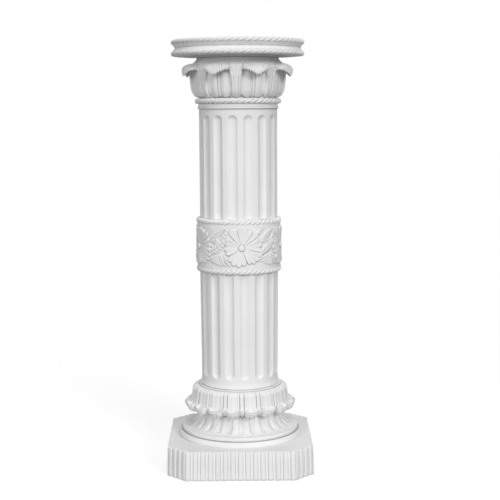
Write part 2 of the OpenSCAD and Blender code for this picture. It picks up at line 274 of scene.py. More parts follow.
def rope(name, radius, thickness, z, strands, relief, steps=12, rows=26):
    """A ring of twisted strands. Its columns follow the strands, so a crevice is one column."""
    columns = strands * steps
    phase = np.arange(columns) / steps
    hollow = relief * (1.0 - scallop(phase) ** STRAND_FULLNESS)
    around = 2 * np.pi * np.arange(rows)[:, None] / rows
    section = np.pi / 2 - around
    angle = 360.0 / strands * (phase - ROPE_TURN * around / (2 * np.pi))
    half = thickness / 2 - hollow
    middle = radius - thickness / 2
    grid = turned(angle, middle + half * np.cos(section), z + half * np.sin(section))
    return closed_ring(name, grid, shift=-ROPE_TURN * steps, sharp_deg=50.0)


# ------------------------------------------------------------------ plinth

PLINTH_W = 336.8
PLINTH_H = 68.0
CORNER_CUT = 44.5
PLINTH_DRAFT = 2.2
SIDE_RIBS = 15
CORNER_RIBS = 4
RIB_GAP = 7.4
RIB_DEPTH = 3.2
RIB_WALL = 1.6         # width of a groove's sloping wall
RIB_CROWN = 0.4        # how far a rib's face falls away towards its edges
RIB_STEP = 0.78        # distance from one column to the next
EDGE_ROUND = 1.5       # rounding along the plinth's top edges
FLOOR_BEVEL = 0.8


def ribbed_side(length, ribs, notched):
    """Places along one side and how deep the surface lies there. A notched side starts and
    ends with half a groove. The ribs are slightly rounded."""
    grooves = ribs - 1 + notched
    rib = (length - grooves * RIB_GAP) / ribs
    pitch = rib + RIB_GAP
    count = int(round(length / RIB_STEP))
    x = (np.arange(count) + 0.5) * length / count
    first_groove = 0.0 if notched else rib + RIB_GAP / 2
    off = np.abs(nearest(x, first_groove, pitch))
    depth = RIB_DEPTH * smooth(RIB_GAP / 2 + RIB_WALL / 2, RIB_GAP / 2 - RIB_WALL / 2, off)
    depth = depth + RIB_CROWN * ((pitch / 2 - off) / (rib / 2)) ** 2 * (off > RIB_GAP / 2)
    if not notched:
        inside = (x > rib - RIB_WALL) & (x < length - rib + RIB_WALL)
        depth = np.where(inside, depth, 0.0)
    return x - length / 2, depth


def plinth_columns():
    """For each column of the outline: its place along its side, that side's distance from the
    axis, how deep the surface lies, and which way the side faces, in radians."""
    side = PLINTH_W - 2 * CORNER_CUT
    cut = CORNER_CUT * math.sqrt(2)
    cut_distance = (PLINTH_W - CORNER_CUT) / math.sqrt(2)
    sides = []
    for k in range(8):
        if k % 2:
            distance = cut_distance
            along, depth = ribbed_side(cut, CORNER_RIBS, notched=1)
        else:
            distance = PLINTH_W / 2
            along, depth = ribbed_side(side, SIDE_RIBS, notched=0)
        one = np.ones(len(along))
        sides.append([along, distance * one, depth, math.radians(k * 45.0) * one])
    return np.concatenate(sides, axis=1)


def plinth():
    z0 = node_z("base")[0]
    top = z0 + PLINTH_H
    along, out, depth, facing = plinth_columns()
    rows = []

    def add(x, y, z):
        rows.append(np.stack([x, y, np.full(len(x), z)], -1))

    def outline(inset, z, carved=1.0):
        distance = out - inset - depth * carved
        s = along * ((out - inset) / out)
        add(distance * np.sin(facing) + s * np.cos(facing),
            -distance * np.cos(facing) + s * np.sin(facing), z)

    angle = np.arctan2(along, out) + facing
    for radius in (20.0, 138.0):
        add(radius * np.sin(angle), -radius * np.cos(angle), top)
    for inset in (10.0, 7.5, 5.5):
        outline(inset, top, carved=0.0)
    for turn in np.linspace(0.0, math.pi / 2, 5):
        outline(EDGE_ROUND * (1 - math.sin(turn)), top - EDGE_ROUND * (1 - math.cos(turn)))
    for z in (45.0, 25.0, 6.0):
        outline(-PLINTH_DRAFT * (1 - z / PLINTH_H), z0 + z)
    outline(-PLINTH_DRAFT, z0 + FLOOR_BEVEL)
    outline(-PLINTH_DRAFT + FLOOR_BEVEL, z0)
    finish_piece(capped_solid("plinth", np.stack(rows), sharp_deg=60.0), "base")


# ------------------------------------------------------------------ foot

RING1_R, RING1_H = 146.3, 13.5
RING2_R, RING2_H = 138.5, 9.5
ROLL_DEPTH = 4.0            # how far the rings' rounded edges fall back
SCOTIA_R = 35.0
SCOTIA_SETBACK = 3.0
SCOTIA_FLUTES = 26
SCOTIA_COLUMNS = 26         # columns to a flute
SCOTIA_TURN = 1.0
SCOTIA_FLUTE_W = 13.0
SCOTIA_FLUTE_DEPTH = 4.2
SCOTIA_FLUTE_START = 26.0   # angle of a flute's tip from the foot of the curve


def flat_roll(radius, low, height):
    """Section of a band with a slightly bulging face and rounded edges, from the top down."""
    points = []
    for turn in np.radians(np.linspace(84.0, -88.0, 15)):
        bulge = math.cos(turn) ** 0.55
        rise = math.copysign(abs(math.sin(turn)) ** 0.75, turn)
        points.append((radius - ROLL_DEPTH + ROLL_DEPTH * bulge, low + height / 2 * (1 + rise)))
    return points


def scotia(rows, off, z_low):
    """The fluted hollow curve. off is each column's angle from the nearest flute."""
    centre_r = RING2_R - SCOTIA_SETBACK
    for turn in np.radians(np.linspace(96.0, 0.0, 50)):
        radius = centre_r - SCOTIA_R * math.sin(turn)
        across = np.radians(off) * radius
        start = math.radians(SCOTIA_FLUTE_START)
        beyond = min((turn - start) * SCOTIA_R - SCOTIA_FLUTE_W / 2, 0.0)
        cut = gouge_cut(np.hypot(across, beyond), SCOTIA_FLUTE_W, SCOTIA_FLUTE_DEPTH)
        out = SCOTIA_R + cut
        rows.add(centre_r - out * math.sin(turn), z_low + SCOTIA_R - out * math.cos(turn))


def foot():
    """Two rings and the hollow curve over them, with heights from the top of the plinth."""
    columns = SCOTIA_FLUTES * SCOTIA_COLUMNS
    rows = Rows(np.arange(columns) * 360.0 / columns, node_z("base")[0] + PLINTH_H)
    off = nearest(rows.angle, SCOTIA_TURN, 360.0 / SCOTIA_FLUTES)
    scotia(rows, off, RING1_H + RING2_H)
    for r, z in flat_roll(RING2_R, RING1_H, RING2_H) + flat_roll(RING1_R, 0.0, RING1_H):
        rows.add(r, z)
    rows.add(120.0, -1.0)
    finish_piece(capped_solid("foot", rows.grid()), "base")


# ------------------------------------------------------------------ leaf skirt

SKIRT_LEAVES = 18
SKIRT_TURN = -7.8
SKIRT_COLUMNS = 44        # columns to a leaf
RIM_PROFILE = [           # radius and drop of the flat rim and of the fine groove around it
    (88.0, 0.0), (93.6, 0.0), (96.7, 0.0), (97.3, 0.4), (97.6, 1.4), (96.9, 2.4), (97.6, 2.9)]
RIM_R = 97.6              # where the leaves start, under the rim
SHOULDER_R = 113.3
SHOULDER_DROP = 14.0
SHOULDER_H = 11.2
WALL_R = 116.5            # where the leaves turn outwards
WALL_DROP = 35.5
LIP_BACK = 1.9            # centre of the lip's rounding, behind its face
HOLLOW_DROP = 52.0        # where the underside meets the hollow curve
BELLY_BULGE = 3.2


def skirt_leaf(angle):
    """What changes from column to column: the relief of the face, and where the lip and the
    belly under it lie, from the top of the base. Each leaf has rolled edges, a broad middle rib
    and two narrow ones, and a dart fills the gap beside it."""
    pitch = 360.0 / SKIRT_LEAVES
    d = np.abs(nearest(angle, SKIRT_TURN, pitch))
    gap = pitch / 2 - d                                   # degrees from the dart's middle
    in_dart = smooth(2.9, 2.5, gap)
    ribs = 0.8 * hump(d, 0.0, 2.6) + 0.6 * hump(d, 3.9, 1.4) + 1.9 * hump(gap, 3.9, 1.4)
    dart = 1.6 * hump(gap, 0.0, 2.5) - 0.6 * groove(gap, 0.0, 0.7) - 1.5
    channel = -1.9 * groove(gap, 2.7, 0.7)
    side = np.clip(d / 7.2, 0, 1)
    notch = 0.8 * groove(d, 2.5, 0.8) + 0.5 * groove(d, 5.2, 0.8)
    return SimpleNamespace(
        in_dart=in_dart, notch=notch,
        face=mix(ribs, dart, in_dart) + channel - 1.6,
        lip_r=132.3 - 7.5 * side ** 4 - 1.2 * notch - 2.5 * in_dart,
        lip_z=-46.2 + 6.5 * side ** 3 - 2.5 * in_dart,
        belly_r=mix(118.5 - 3.0 * side ** 3, 114.0, in_dart) - 1.6 * notch,
        belly_z=mix(-61.0 + 5.2 * side ** 4, -55.0 - 1.8 * hump(gap, 0.0, 2.4), in_dart)
        + 2.0 * notch)


def skirt_outside(rows, leaf):
    """From the rim over the shoulder, down the wall and out to the lip."""
    for r, drop in RIM_PROFILE:
        rows.add(r, -drop)
    for degrees in np.linspace(14.0, 90.0, 16):
        turn = math.radians(degrees)
        r = mix(RIM_R, SHOULDER_R, math.sin(turn)) + leaf.face * smooth(6.0, 32.0, degrees)
        rows.add(r, SHOULDER_H * math.cos(turn) - SHOULDER_DROP)
    for t in np.linspace(0.0, 1.0, 15)[1:]:
        rows.add(mix(SHOULDER_R, WALL_R, t) + leaf.face, -mix(SHOULDER_DROP, WALL_DROP, t))
    for t in np.linspace(0.0, 1.0, 17)[1:]:
        out, down = 1 - math.cos(t * math.pi / 2), math.sin(t * math.pi / 2)
        relief = leaf.face * mix(1.0, 0.35, smooth(0.35, 1.0, t))
        rows.add(mix(WALL_R, leaf.lip_r, out) + relief * (1 - 0.9 * out),
                 mix(-WALL_DROP, leaf.lip_z, down) + 0.6 * relief * out)


def skirt_underside(rows, leaf):
    """Round the lip, down over the leaves' bulging backs and in to the hollow curve."""
    for turn in np.radians(np.linspace(20.0, 150.0, 7)):
        rows.add(leaf.lip_r - LIP_BACK + 2.4 * math.sin(turn),
                 leaf.lip_z - 2.2 + 2.3 * math.cos(turn))
    for t in np.linspace(0.0, 1.0, 17)[1:]:
        arch = math.sin(math.pi * t)
        bulge = BELLY_BULGE * arch * (1 - 0.7 * leaf.in_dart)
        crease = 0.9 * leaf.notch * arch
        rows.add(mix(leaf.lip_r - 0.7, leaf.belly_r, t) + bulge * 0.75 - crease,
                 mix(leaf.lip_z - 4.2, leaf.belly_z, t) - bulge * 0.6 + crease)
    for t in np.linspace(0.0, 1.0, 9)[1:]:
        rows.add(mix(leaf.belly_r, 101.0, t),
                 mix(leaf.belly_z, -HOLLOW_DROP, t ** 1.4) - 1.2 * math.sin(math.pi * t))
    rows.add(95.0, 0.5 - HOLLOW_DROP)


def leaf_skirt():
    """Leaves that hang over a shoulder and flare out at the lip."""
    rows = Rows(column_angles(SKIRT_TURN, SKIRT_LEAVES * SKIRT_COLUMNS), node_z("base")[1])
    leaf = skirt_leaf(rows.angle)
    skirt_outside(rows, leaf)
    skirt_underside(rows, leaf)
    finish_piece(capped_solid("leaf_skirt", rows.grid()), "base")


# ------------------------------------------------------------------ drums

FLUTES = 16
FLUTE_W = 22.7
FLUTE_DEPTH = 5.6
FLUTE_COLUMNS = 38     # columns to a flute
LOWER_TURN = -14.9
LOWER_FOOT_R = 90.6
LOWER_TOP_R = 92.5
FLUTE_FOOT = 23.0      # plain height below the lower drum's flutes
FLARE = 2.6            # how far the lower drum widens at its foot
SEAM = 1.6             # height of the open seam at the foot of the lower drum
SEAM_DEPTH = 4.0
UPPER_TURN = -8.3
UPPER_R = 91.3
FLUTE_HEAD = 26.0      # plain height above the upper drum's flutes
COLLAR_H = 11.7
COLLAR_PROFILE = [     # radius and height over the collar's foot
    (92.4, COLLAR_H), (92.6, 6.2), (93.2, 5.6), (93.4, 5.2), (92.2, 4.9), (94.0, 4.7), (94.5, 4.2),
    (94.5, 1.0), (94.0, 0.4), (92.6, 0.0), (UPPER_R, -0.4)]


def flute_cut(angle, turn, radius, beyond):
    """How deep a flute cuts at each column. beyond is the distance past the centre of its
    round end, in mm, or 0 along the flute."""
    across = np.radians(nearest(angle, turn, 360.0 / FLUTES)) * radius
    return gouge_cut(np.hypot(across, beyond), FLUTE_W, FLUTE_DEPTH)


def lower_shaft():
    z0, z1 = node_z("lower_drum")
    tip = z0 + FLUTE_FOOT
    centre = tip + FLUTE_W / 2
    heights = np.concatenate([
        np.linspace(z1, centre + 2, 6), np.linspace(centre, tip - 1.0, 26),
        np.linspace(tip - 3.0, z0 + 3.5, 9), [z0 + 1.9, z0 + SEAM - 0.1, z0 + 0.1]])
    rows = Rows(column_angles(LOWER_TURN, FLUTES * FLUTE_COLUMNS))
    for z in heights:
        shaft = mix(LOWER_FOOT_R, LOWER_TOP_R, np.clip((z - centre) / (z1 - centre), 0, 1))
        flare = FLARE * np.clip(1 - (z - z0 - 3.0) / 13.0, 0, 1) ** 2
        seam = SEAM_DEPTH if z < z0 + SEAM else 0.0
        cut = flute_cut(rows.angle, LOWER_TURN, LOWER_FOOT_R, min(z - centre, 0.0))
        rows.add(shaft + flare - seam - cut, z)
    finish_piece(capped_solid("lower_shaft", rows.grid()), "lower_drum")


def upper_shaft():
    z0, z1 = node_z("upper_drum")
    tip = z1 - FLUTE_HEAD
    centre = tip - FLUTE_W / 2
    collar = z1 - COLLAR_H
    heights = np.concatenate([
        np.linspace(collar - 2.0, tip + 1.0, 6), np.linspace(tip + 0.4, centre, 26),
        np.linspace(centre - 3, z0, 5)])
    rows = Rows(column_angles(UPPER_TURN, FLUTES * FLUTE_COLUMNS))
    for r, rise in COLLAR_PROFILE:
        rows.add(r, collar + rise)
    for z in heights:
        cut = flute_cut(rows.angle, UPPER_TURN, UPPER_R, max(z - centre, 0.0))
        rows.add(UPPER_R - cut, z)
    finish_piece(capped_solid("upper_shaft", rows.grid()), "upper_drum")


# ------------------------------------------------------------------ flower belt

FLOWERS = 5
FLOWER_TURN = 3.5
BELT_R = 98.2             # the wall behind the flowers
BELT_CORE_R = 94.0        # the wall behind the ropes
BELT_ROPE_R = 100.6
BELT_ROPE_D = 13.4
BELT_STRANDS = 49
BELT_ROPE_RELIEF = 2.5
FRIEZE_COLUMNS = 152      # columns to a flower
FRIEZE_ROWS = 118
FRIEZE_DROP = 1.1         # how far the flowers sit below the belt's middle
MM_PER_DEG = math.radians(1.0) * 100.5
BEAD_R = 7.4              # bead in the middle of a flower


def fan(x, y, centre, start, end, lengths, lobes, height, lobe_depth=0.36):
    """A fan-shaped petal about centre, from one angle to another, hollow in the middle, with
    lobes at its edge. lengths are its reach at the start, in the middle and at the end."""
    dx, dy = x - centre[0], y - centre[1]
    rho = np.hypot(dx, dy)
    span = end - start
    theta = (np.degrees(np.arctan2(dy, dx)) - start + 90.0) % 360.0 - 90.0
    t = np.clip(theta / span, 0, 1)
    first, middle, last = lengths
    slope = 4 * middle - 3 * first - last
    curve = 2 * first + 2 * last - 4 * middle
    reach = first + slope * t + curve * t * t
    lobe = scallop(t * lobes)
    reach = reach * (0.87 + 0.13 * lobe ** 0.6)
    share = np.clip(rho / reach, 0, 1)
    inside = np.minimum(theta, span - theta)
    border = np.radians(inside) * rho
    across = 0.40 + 0.60 * smooth(0.0, 2.0, border)
    edge = smooth(0.0, 2.2, reach - rho)
    dish = 0.72 + 0.28 * (2 * t - 1) ** 2
    lift = 0.42 + 0.58 * share ** 1.4
    ribs = 1.0 - lobe_depth * (1.0 - lobe ** 0.8) * smooth(0.2, 1.0, share)
    return height * across * edge * lift * ribs * dish * (inside > 0)


def leaf_blade(x, y, stalk, tip, half, teeth, height, bend=0.0, veins=0.25):
    """A pointed leaf from stalk to tip with a serrated edge, a sunk midrib and slanting veins."""
    ax, ay = tip[0] - stalk[0], tip[1] - stalk[1]
    length = math.hypot(ax, ay)
    t = ((x - stalk[0]) * ax + (y - stalk[1]) * ay) / length ** 2
    s = (-(x - stalk[0]) * ay + (y - stalk[1]) * ax) / length - bend * 4 * t * (1 - t)
    body = np.sin(np.pi * np.clip(t, 0, 1) ** 0.75) ** 0.75
    tooth = scallop(t * teeth - np.abs(s) * 0.6 * teeth / length) if teeth else 1.0
    width = half * body * (0.74 + 0.26 * tooth) + 1e-6
    q = np.clip(np.abs(s) / width, 0, 1)
    inside = (t > 0) & (t < 1)
    dome = (1 - q ** 2.4) ** 0.7
    rib = 1.0 - 0.45 * groove(s, 0.0, 1.3)
    vein = 1.0 - veins * (1.0 - tooth)
    return height * dome * rib * vein * inside


def flower(x, y):
    """Petals about a bead, as a list of heights over the wall."""
    rho = np.hypot(x, y)
    bead = np.where(rho < BEAD_R, 2.4 + 2.4 * hump(rho, 0.0, BEAD_R), 0.0)
    return [
        fan(x, y, (0, 0), 134.0, 213.0, (26, 42, 35), 4, 4.4),
        fan(x, y, (0, 0), 213.0, 290.0, (42, 46, 38), 4, 4.8),
        fan(x, y, (0, 0), 290.0, 345.5, (39, 51, 54), 4, 4.6),
        fan(x, y, (0, 0), 345.5, 374.0, (46, 51, 49), 2, 4.0),
        fan(x, y, (0, 0), 14.0, 32.0, (41, 47, 45), 1, 3.4),
        fan(x, y, (0, 0), 32.0, 51.0, (50, 53, 49), 1, 4.6),
        fan(x, y, (0, 0), 51.0, 105.0, (46, 48, 43), 3, 4.2),
        fan(x, y, (0, 0), 105.0, 134.0, (44, 52, 46), 1, 3.6),
        bead]


def leaves_between(x, y):
    """Leaves, a half-open blossom and a few berries to the left of a flower."""
    parts = [
        leaf_blade(x, y, (-84, -14), (-33, 21), 11.0, 7, 3.4, bend=-2.0),
        leaf_blade(x, y, (-79, 13), (-38, 46), 9.5, 8, 3.0, bend=3.0),
        leaf_blade(x, y, (-50, 14), (-34, 46), 6.5, 4, 2.6, bend=-2.0),
        leaf_blade(x, y, (-92, 30), (-72, 46), 6.0, 4, 2.5),
        leaf_blade(x, y, (-52, -14), (-36, -42), 5.2, 0, 3.2, bend=-2.5),
        leaf_blade(x, y, (-42, -16), (-25, -43), 5.0, 0, 3.4, bend=-2.0),
        leaf_blade(x, y, (-47, -18), (-47, -43), 4.2, 0, 2.7, bend=1.5),
        fan(x, y, (-42, -10), 196, 262, (50, 38, 33), 6, 3.0, 0.6)]
    for cx, cy, r in ((-62, 11, 3.6), (-56, 14, 3.4), (-61, 18, 3.2), (-67, 15, 3.0), (-54, 8, 2.8)):
        near = np.hypot(x - cx, y - cy) / r
        parts.append(np.where(near < 1, 0.8 + 1.8 * hump(near, 0.0, 1.0), 0.0))
    return parts


def frieze_relief(x, y):
    """Height of the carving over the belt's wall. x runs round the belt and y up, in mm, both
    from the middle of a flower."""
    period = 360.0 / FLOWERS * MM_PER_DEG
    left_of_flower = np.where(x > 0, x - period, x)
    height = np.maximum.reduce(flower(x, y) + leaves_between(left_of_flower, y))
    ring = groove(np.hypot(x, y), BEAD_R + 1.0, 1.2)
    return height - ring * smooth(0.0, 1.0, height)


def belt():
    z0, z1 = node_z("belt")
    for name, z in (("belt_rope_low", z0 + BELT_ROPE_D / 2), ("belt_rope_high", z1 - BELT_ROPE_D / 2)):
        piece = rope(name, BELT_ROPE_R, BELT_ROPE_D, z, BELT_STRANDS, BELT_ROPE_RELIEF)
        finish_piece(piece, "belt")
    rows = Rows(column_angles(FLOWER_TURN, FLOWERS * FRIEZE_COLUMNS))
    x = nearest(rows.angle[:FRIEZE_COLUMNS], FLOWER_TURN, 360.0 / FLOWERS) * MM_PER_DEG
    middle = (z0 + z1) / 2 - FRIEZE_DROP
    low, high = z0 + BELT_ROPE_D - 2.5, z1 - BELT_ROPE_D + 2.5
    z = np.linspace(high, low, FRIEZE_ROWS)
    relief = np.tile(frieze_relief(x[None, :], (z - middle)[:, None]), (1, FLOWERS))
    fade = smooth(low + 2.0, low + 5.0, z) * smooth(high - 2.0, high - 4.5, z)
    rows.add(BELT_CORE_R, z1 - 0.5)
    rows.add(BELT_CORE_R, high + 0.5)
    for i in range(FRIEZE_ROWS):
        rows.add(BELT_R + relief[i] * fade[i], z[i])
    rows.add(BELT_CORE_R, low - 0.5)
    rows.add(BELT_CORE_R, z0 + 0.5)
    finish_piece(capped_solid("belt_frieze", rows.grid(), sharp_deg=60.0), "belt")


# ------------------------------------------------------------------ capital

CAPITAL_LEAVES = 8
CAPITAL_TURN = 20.5
CAPITAL_COLUMNS = 108    # columns to a leaf
CAPITAL_ROPE_R = 101.0
CAPITAL_ROPE_D = 12.3
CAPITAL_STRANDS = 44
TIP_HALF = 15.7          # half the angle that a rolled leaf tip takes up
STRAP_R = 112.4
STRAP_EDGE = 17.4        # angle from a leaf's middle to the strap beside it
TIP_REACH = 21.5         # how far a tip stands out from the straps
TIP_CURL = 15.0          # how far a tip's face turns back under, in degrees
TIP_THICK = 2.4
TOOTH_PITCH = 2.6        # degrees from one tooth of a tip to the next
TIP_DROP = 46.6          # drop from the slab to a tip's lowest point, teeth aside
CROWN_DROP = 26.5        # and to the top of the straps
NICHE_DEPTH = 6.5
BELL_R = 103.2
BELL_DROP = 14.8
STRAP_BEAD_R = 2.0       # size of the small bead over each strap's foot
STRAP_BEAD_OUT = 1.6
STRAP_BEAD_DROP = 88.5
STRAP_FOOT_R = 104.0     # radius of the straps at that bead
NECK_PROFILE = [         # radius and drop of the small ring and the narrow neck under the slab
    (92.0, 0.0), (97.0, 0.2), (97.5, 0.8), (97.5, 2.6), (97.0, 3.2), (95.2, 3.6), (94.4, 4.4),
    (94.4, 5.6), (96.0, 6.4)]
HEM_RISE = [             # angle from a leaf's middle, and rise of the tip's lower edge there
    (0.0, 0.0), (2.0, 1.4), (5.0, 5.0), (8.0, 8.2), (10.5, 10.8), (13.0, 12.3), (16.0, 12.7)]
NICHE_EDGE = [           # angle from a leaf's middle to the edge of the niche, and its drop
    (0.0, 22.0), (8.3, 24.0), (12.3, 27.0), (14.8, 32.0), (15.4, 38.0), (16.8, 48.0), (17.4, 63.0)]
STRAP_PROFILE = [        # outer radius of the straps, and drop
    (STRAP_R, 15.0), (112.0, 33.0), (111.0, 47.0), (109.0, 67.0), (107.8, 75.0), (106.2, 81.0),
    (104.6, 84.5), (102.2, 88.0), (100.0, 91.0), (97.6, 93.5), (95.0, 95.0)]


# All heights z of the capital are measured from its top, so they are negative.

def strap_radius(z):
    radii, drops = np.transpose(STRAP_PROFILE)
    return np.interp(-z, drops, radii)


def niche_edge(z):
    """Angle from a leaf's middle to the edge of its niche at height z."""
    angles, drops = np.transpose(NICHE_EDGE)
    return np.interp(-z, drops, angles)


def strap_face(leaf, z):
    """Raised rims along a strap's edges, the fine grooves inside them and its middle line,
    over the strap's outer radius."""
    inwards = leaf.d - niche_edge(z)
    rim = 1.4 * hump(inwards, 0.9, 1.2) - 0.7 * groove(inwards, 2.9, 1.2)
    middle_line = 0.6 * groove(leaf.strap, 0.0, 1.0) * smooth(-55.0, -38.0, z)
    return strap_radius(z) + (rim - middle_line)


def niche_panel(d):
    """Relief inside a niche: a narrow midrib with a fine groove on each side of it, a broad smooth
    bulge beyond, and a slight rise towards the straps."""
    midrib = 1.3 * hump(d, 0.0, 1.5) - 0.5 * groove(d, 2.1, 0.9)
    return midrib + 2.1 * groove(d, 6.6, 5.6) + 0.9 * groove(d, 16.4, 4.4)


def leaf_feet(leaf, above_rope):
    """How far the surface falls back round the rounded feet of straps and bulges, less the small
    darts that stand in the gaps there."""
    shape = np.maximum.reduce([
        hump(leaf.strap, 0.0, 5.3), hump(leaf.d, 8.1, 5.6), 0.6 * hump(leaf.d, 0.0, 2.6)])
    foot = 1.0 + 6.0 * (1 - shape)
    back = 4.5 * smooth(foot + 1.8, foot - 1.2, above_rope)
    dart = 4.2 * np.clip(1 - np.abs(leaf.d - 15.3) / 2.6 - above_rope / 7.0, 0, 1)
    return back - dart


def strap_bead(leaf, z):
    """A small bead on each strap, just above its foot."""
    across = np.radians(leaf.strap) * STRAP_FOOT_R
    return STRAP_BEAD_OUT * hump(np.hypot(across, z + STRAP_BEAD_DROP), 0.0, STRAP_BEAD_R)


def capital_leaf(angle):
    """What changes from column to column. The tip is 1 at a leaf's middle and 0 on a strap."""
    signed = nearest(angle, CAPITAL_TURN, 360.0 / CAPITAL_LEAVES)
    d = np.abs(signed)
    tip = np.clip(1 - (d / TIP_HALF) ** 3, 0, 1) ** 0.5
    has_tip = smooth(TIP_HALF, TIP_HALF - 0.8, d)
    tooth = (1 - scallop(signed / TOOTH_PITCH + 0.5)) ** 1.2
    uneven = 0.75 + 0.25 * np.sin(signed * 1.9 + 0.7)
    hem = np.interp(d, *np.transpose(HEM_RISE)) + 4.6 * tooth * uneven * has_tip - TIP_DROP
    z_tip = hem - 6.0 * smooth(TIP_HALF, STRAP_EDGE, d)
    z_crown = 9.0 * tip - CROWN_DROP
    z_arch = -np.interp(d, *np.transpose(NICHE_EDGE))
    curl = math.sin(math.radians(TIP_CURL))
    return SimpleNamespace(
        signed=signed, d=d, strap=180.0 / CAPITAL_LEAVES - d, has_tip=has_tip, z_crown=z_crown,
        reach=STRAP_R + TIP_REACH * tip,
        crown_r=mix(STRAP_R, 107.0, smooth(0.0, 0.45, tip)),
        centre_z=z_tip + (z_crown - z_tip) * curl / (1 + curl),
        z_root=np.minimum(z_arch, z_crown - 3.6))


def bell(rows, leaf):
    """The ring and the neck under the slab, the bell, and its shoulder: the straps turn down
    there and the tips carry on outwards."""
    for r, drop in NECK_PROFILE:
        rows.add(r, -drop)
    for t in np.linspace(0.15, 1.0, 6):
        rows.add(mix(95.4, BELL_R, t ** 1.4), -mix(6.0, BELL_DROP, t))
    for t in np.linspace(0.0, 1.0, 9)[1:]:
        z = mix(-BELL_DROP, leaf.z_crown, t)
        relief = (strap_face(leaf, z) - strap_radius(z)) * (1 - leaf.has_tip) * t
        rows.add(mix(BELL_R, leaf.crown_r, 1 - (1 - t) ** 1.5) + relief, z)


def rolled_tip(rows, leaf):
    """Over a tip's veined face, round its toothed hem and up under it to the niche's top."""
    for t in np.linspace(0.0, 1.0, 25)[1:]:
        a = mix(math.pi / 2, -math.radians(TIP_CURL), t)
        vein = scallop(leaf.signed / (TOOTH_PITCH * mix(0.72, 1.0, t)) + 0.5)
        carve = -1.2 * (1 - vein) * leaf.has_tip * smooth(0.0, 0.2, t)
        z = leaf.centre_z + (leaf.z_crown - leaf.centre_z + carve) * math.sin(a)
        r = leaf.crown_r + (leaf.reach - leaf.crown_r + carve) * math.cos(a)
        r = mix(strap_face(leaf, z), r, leaf.has_tip)
        rows.add(r, z)
    thick = TIP_THICK * leaf.has_tip
    rows.add(r - 0.3 * thick, z - 0.3 * leaf.has_tip)
    rows.add(r - 0.8 * thick, z - 0.1 * leaf.has_tip)
    under_r, under_z = r - thick, z + 0.5 * leaf.has_tip
    root_r = strap_radius(leaf.z_root) - 1.0 * leaf.has_tip
    for a in np.linspace(0.0, 1.0, 11) * math.pi / 2:
        z = mix(under_z, leaf.z_root, math.sin(a))
        r = mix(under_r, root_r, 1 - math.cos(a))
        rows.add(mix(strap_face(leaf, z), r, leaf.has_tip), z)


def niches_and_straps(rows, leaf, z_rope):
    """From under the tips down to the rounded feet on the rope."""
    low = z_rope + 0.6
    shares = np.concatenate([[0.004, 0.02], np.linspace(0.04, 0.70, 20), np.linspace(0.73, 1.0, 20)])
    for t in shares:
        z = mix(leaf.z_root, low, t)
        in_niche = smooth(0.3, -0.3, leaf.d - niche_edge(z) + 0.35)
        depth = NICHE_DEPTH * mix(1.0, 0.45, t ** 3)
        panel = niche_panel(leaf.d) * smooth(0.0, 0.10, t) - depth
        face = mix(strap_face(leaf, z), strap_radius(z) + panel, in_niche)
        rows.add(face - leaf_feet(leaf, z - z_rope) + strap_bead(leaf, z), z)


def capital_leaves():
    z0, z_top = node_z("capital")
    z_rope = z0 + CAPITAL_ROPE_D - z_top
    rows = Rows(column_angles(CAPITAL_TURN, CAPITAL_LEAVES * CAPITAL_COLUMNS), z_top)
    leaf = capital_leaf(rows.angle)
    bell(rows, leaf)
    rolled_tip(rows, leaf)
    niches_and_straps(rows, leaf, z_rope)
    rows.add(93.0, z_rope + 0.1)
    rows.add(93.0, z_rope - CAPITAL_ROPE_D + 2.0)
    finish_piece(capped_solid("capital_leaves", rows.grid(), sharp_deg=45.0), "capital")


def capital_rope():
    z = node_z("capital")[0] + CAPITAL_ROPE_D / 2
    piece = rope("capital_rope", CAPITAL_ROPE_R, CAPITAL_ROPE_D, z, CAPITAL_STRANDS, 2.5, steps=16)
    finish_piece(piece, "capital")


# ------------------------------------------------------------------ top slab

SLAB_R = 154.9
SLAB_ROPE_D = 11.2
SLAB_GROOVE = 10.0
SLAB_STRANDS = 62
SLAB_BEADS = 36
BEAD_COLUMNS = 20      # columns to a bead
SLAB_BEAD_R = 1.9
SLAB_BEAD_OUT = 1.8
SLAB_BEAD_RISE = 1.6   # how far the beads sit above the slab's middle


def slab_profile(z0, z1):
    """Radius and height from the top face round the groove to the underside."""
    rope_r = SLAB_R - SLAB_ROPE_D / 2
    high, low = z1 - SLAB_ROPE_D * 0.93, z0 + SLAB_ROPE_D * 0.93
    profile = [(20.0, z1 - 0.4), (rope_r - 4.5, z1 - 0.4), (rope_r - 3.0, z1 - 1.2),
               (rope_r - 2.0, z1 - 3.0), (rope_r, high)]
    for t in np.linspace(0.0, 1.0, 18):
        from_middle = abs(2 * t - 1)
        r = mix(SLAB_R - SLAB_GROOVE, rope_r + 2.2, from_middle ** 1.1)
        profile.append((r, mix(high, low, t)))
    profile += [(rope_r, z0 + SLAB_ROPE_D * 0.9), (rope_r - 2.0, z0 + 3.0),
                (rope_r - 3.0, z0 + 1.0), (rope_r - 4.5, z0 + 0.3), (100.0, z0 + 0.3)]
    return profile


def top_slab():
    z0, z1 = node_z("top_slab")
    for name, z in (("slab_rope_low", z0 + SLAB_ROPE_D / 2), ("slab_rope_high", z1 - SLAB_ROPE_D / 2)):
        finish_piece(rope(name, SLAB_R, SLAB_ROPE_D, z, SLAB_STRANDS, 2.2, rows=24), "top_slab")
    rows = Rows(column_angles(0.0, SLAB_BEADS * BEAD_COLUMNS))
    off = np.radians(nearest(rows.angle, 1.0, 360.0 / SLAB_BEADS)) * SLAB_R
    bead_z = (z0 + z1) / 2 + SLAB_BEAD_RISE
    for r, z in slab_profile(z0, z1):
        near = np.hypot(off, z - bead_z)
        rows.add(r + SLAB_BEAD_OUT * hump(near, 0.0, SLAB_BEAD_R), z)
    finish_piece(capped_solid("slab", rows.grid()), "top_slab")


# ------------------------------------------------------------------ camera, floor and lights

